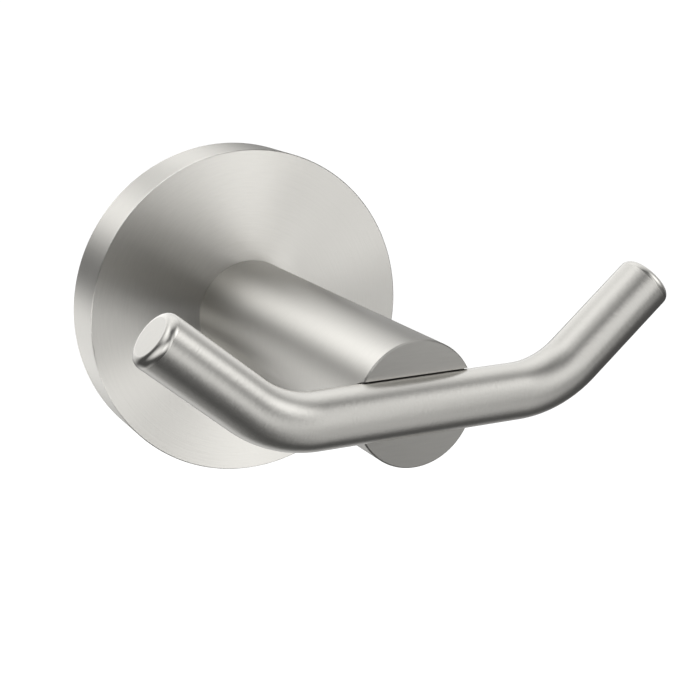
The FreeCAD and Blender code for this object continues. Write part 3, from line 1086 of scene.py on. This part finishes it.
class ROBEHOOK_OT_stage(bpy.types.Operator):
    """Sets up the floor, the studio light and the camera"""

    bl_idname = "robe_hook.stage"
    bl_label = "Stage"

    def execute(self, context):
        stage = context.scene.robe_hook_stage
        self.make_floor(context, stage)
        self.make_light(context, stage)
        self.make_camera(context, stage)
        context.scene.view_settings.view_transform = "Standard"
        return {"FINISHED"}

    def make_floor(self, context, stage):
        half = stage.floor_half_side
        mesh = bpy.data.meshes.new("floor")
        corners = [(-half, -half), (half, -half), (half, half), (-half, half)]
        mesh.from_pydata([(x, y, -stage.floor_drop) for x, y in corners], [], [(0, 1, 2, 3)])
        floor = bpy.data.objects.new("floor", mesh)
        context.scene.collection.objects.link(floor)
        material, _, shader = new_material("pale floor")
        shader.inputs["Base Color"].default_value = (*stage.floor_colour, 1.0)
        shader.inputs["Roughness"].default_value = FLOOR_ROUGHNESS
        shader.inputs["Emission Color"].default_value = (1.0, 1.0, 1.0, 1.0)
        shader.inputs["Emission Strength"].default_value = 1.0
        mesh.materials.append(material)
        # Only the camera sees the floor; the metal is lit by the soft boxes and the fill.
        floor.visible_glossy = False
        floor.visible_diffuse = False
        floor.visible_shadow = False

    def make_light(self, context, stage):
        world = bpy.data.worlds.new("studio")
        context.scene.world = world
        world.use_nodes = True
        nodes = Nodes(world.node_tree)
        # The backdrop is white to the eye, and only a dim fill to the metal.
        seen = nodes.add("ShaderNodeLightPath").outputs["Is Camera Ray"]
        fill = stage.fill_brightness
        strength = nodes.add("ShaderNodeMapRange", i0=seen, i3=fill, i4=1.0).outputs[0]
        nodes.feed(world.node_tree.nodes["Background"], "Strength", strength)
        world.node_tree.nodes["Background"].inputs["Color"].default_value = (1.0, 1.0, 1.0, 1.0)
        groups = {}
        for group, names in LIT_PIECES.items():
            groups[group] = bpy.data.collections.new("lit " + group)
            for name in names:
                groups[group].objects.link(bpy.data.objects[name])
        for box in SOFT_BOXES:
            self.hang(context, stage, box, groups.get(box.lights))

    def hang(self, context, stage, box, lit):
        """Hangs a soft box so that it faces the hook, sized by the angles at which the hook sees it."""
        data = bpy.data.lights.new(box.name, "AREA")
        data.shape = "RECTANGLE"
        distance = stage.lamp_distance
        data.size = 2 * distance * math.tan(math.radians(box.half_width))
        data.size_y = 2 * distance * math.tan(math.radians(box.half_height))
        data.energy = math.pi * data.size * data.size_y * box.brightness
        self.soften_edges(data)
        lamp = bpy.data.objects.new(box.name, data)
        towards = direction(math.radians(box.azimuth), math.radians(box.elevation))
        lamp.location = HOOK_MIDDLE + towards * distance
        lamp.rotation_euler = towards.to_track_quat("Z", "Y").to_euler()
        if lit:
            lamp.light_linking.receiver_collection = lit
        context.scene.collection.objects.link(lamp)

    def soften_edges(self, data):
        """Lets a lamp fade from its middle to its edges."""
        data.use_nodes = True
        nodes = Nodes(data.node_tree)
        across = nodes.add("ShaderNodeNewGeometry").outputs["Parametric"]
        parts = nodes.add("ShaderNodeSeparateXYZ", i0=across)
        fades = []
        for axis in ("X", "Y"):
            from_middle = nodes.math("MULTIPLY_ADD", parts.outputs[axis], 2.0, -1.0)
            inside = nodes.math("SUBTRACT", 1.0, nodes.math("MULTIPLY", from_middle, from_middle))
            fades.append(nodes.math("MULTIPLY", inside, inside))
        nodes.feed(data.node_tree.nodes["Emission"], "Strength", nodes.math("MULTIPLY", *fades))

    def make_camera(self, context, stage):
        back = direction(stage.camera_azimuth, stage.camera_elevation)
        ahead = -back
        right = ahead.cross(Vector((0, 0, 1))).normalized()
        up = right.cross(ahead)
        turned_ahead = ahead * math.cos(stage.camera_turn) + right * math.sin(stage.camera_turn)
        ahead = turned_ahead * math.cos(stage.camera_tilt) + up * math.sin(stage.camera_tilt)
        right = ahead.cross(Vector((0, 0, 1))).normalized()
        up = right.cross(ahead)
        data = bpy.data.cameras.new("camera")
        data.sensor_width = SENSOR_WIDTH_MM
        data.lens = stage.camera_lens_pixels / IMAGE_SIDE_PIXELS * SENSOR_WIDTH_MM
        data.clip_start = CLIP_START
        data.clip_end = CLIP_END
        camera = bpy.data.objects.new("camera", data)
        camera.matrix_world = Matrix.Translation(back * stage.camera_distance) @ Matrix(
            (right, up, -ahead)
        ).transposed().to_4x4()
        context.scene.collection.objects.link(camera)
        context.scene.camera = camera


class ROBEHOOK_PT_panel(bpy.types.Panel):
    """Lists the robe hook's operators and settings"""

    bl_idname = "ROBEHOOK_PT_panel"
    bl_label = "Robe hook"
    bl_space_type = "VIEW_3D"
    bl_region_type = "UI"
    bl_category = "Robe Hook"

    def draw(self, context):
        for operator in OPERATORS:
            self.layout.operator(operator.bl_idname)
        for setting in SETTINGS:
            group = getattr(context.scene, setting)
            box = self.layout.box()
            for name in group.bl_rna.properties.keys():
                if name not in ("rna_type", "name"):
                    box.prop(group, name)


OPERATORS = (
    ROBEHOOK_OT_wall_flange,
    ROBEHOOK_OT_post,
    ROBEHOOK_OT_hook_bar,
    ROBEHOOK_OT_screws,
    ROBEHOOK_OT_washers,
    ROBEHOOK_OT_wall_bracket,
    ROBEHOOK_OT_stage,
)
SETTINGS = {
    "robe_hook_sizes": RobeHookSizes,
    "robe_hook_finish": RobeHookFinish,
    "robe_hook_stage": RobeHookStage,
}
CLASSES = (*SETTINGS.values(), *OPERATORS, ROBEHOOK_PT_panel)


def register():
    for cls in CLASSES:
        bpy.utils.register_class(cls)
    for setting, group in SETTINGS.items():
        setattr(bpy.types.Scene, setting, PointerProperty(type=group))


def unregister():
    for setting in SETTINGS:
        delattr(bpy.types.Scene, setting)
    for cls in reversed(CLASSES):
        bpy.utils.unregister_class(cls)


def main():
    register()
    bpy.ops.robe_hook.wall_flange()
    bpy.ops.robe_hook.post()
    bpy.ops.robe_hook.hook_bar()
    bpy.ops.robe_hook.screws()
    bpy.ops.robe_hook.washers()
    bpy.ops.robe_hook.wall_bracket()
    bpy.ops.robe_hook.stage()


if __name__ == "__main__":
    main()
